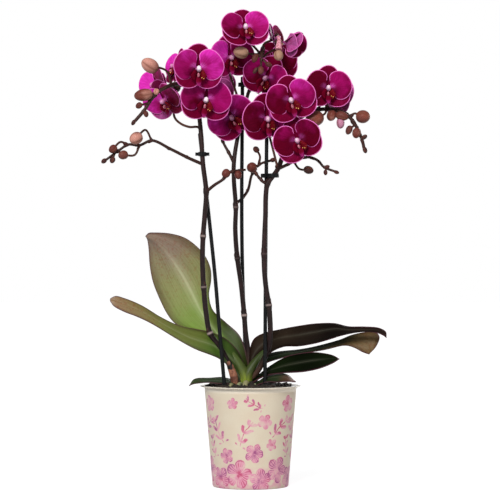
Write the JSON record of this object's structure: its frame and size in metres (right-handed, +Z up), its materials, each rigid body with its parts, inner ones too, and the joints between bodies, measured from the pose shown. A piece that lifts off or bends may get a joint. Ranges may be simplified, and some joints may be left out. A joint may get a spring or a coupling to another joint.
{
  "type": "potted moth orchid",
  "caption": "Potted moth orchid: dark staked flower spikes with magenta blooms and buds over strap leaves, in a tapered decorative pot.",
  "frame": {"origin": "middle of the outer pot's flat underside, on the surface that the pot stands on", "axes": "+Z up; the plant faces -Y, with the side to the viewer's right towards +X"},
  "size_m": [0.2853, 0.1033, 0.4827],
  "materials": {
    "outer_pot": null,
    "culture_pot": "milky translucent",
    "bark": "rough bark chips",
    "crown": "waxy yellow-green with grey-green roots",
    "leaf": "waxy, dark green above, grey-purple below",
    "stem": "dark purplish brown, with pale nodes and olive-pink buds",
    "stake": "black, satin",
    "clip": "black, satin",
    "tepal": "magenta to dark wine, with a thin pale margin",
    "lip": "dark red with a white column and orange marks"
  },
  "bodies": {
    "root": {"outer_pot": "outer_pot", "culture_pot": "culture_pot", "bark": "bark", "crown": "crown", "stake_left": "stake", "stake_middle": "stake", "stake_right": "stake", "clip_left": "clip", "clip_middle": "clip", "clip_right": "clip", "spike_left": "stem", "spike_middle": "stem", "spike_right": "stem", "leaf_upright_left": "leaf", "leaf_long_left": "leaf", "leaf_upper_right": "leaf", "leaf_second_right": "leaf", "leaf_lower_right": "leaf", "leaf_small_right": "leaf", "leaf_drooping_left": "leaf", "bloom_left_front": "tepal", "bloom_left_lower": "tepal", "bloom_left_edge": "tepal", "bloom_left_far": "tepal", "bloom_left_hanging": "tepal", "bloom_left_back": "tepal", "bloom_middle_left": "tepal", "bloom_top": "tepal", "bloom_top_right": "tepal", "bloom_upper_right": "tepal", "bloom_middle": "tepal", "bloom_right_front": "tepal", "bloom_right_middle": "tepal", "bloom_right_lower": "tepal", "bloom_right_back": "tepal", "bloom_centre_right": "tepal", "bloom_centre_left": "tepal", "bloom_opening": "tepal", "lip_left_front": "lip", "lip_left_lower": "lip", "lip_left_edge": "lip", "lip_left_far": "lip", "lip_left_hanging": "lip", "lip_left_back": "lip", "lip_middle_left": "lip", "lip_top": "lip", "lip_top_right": "lip", "lip_upper_right": "lip", "lip_middle": "lip", "lip_right_front": "lip", "lip_right_middle": "lip", "lip_right_lower": "lip", "lip_right_back": "lip", "lip_centre_right": "lip", "lip_centre_left": "lip"}
  },
  "joints": []
}
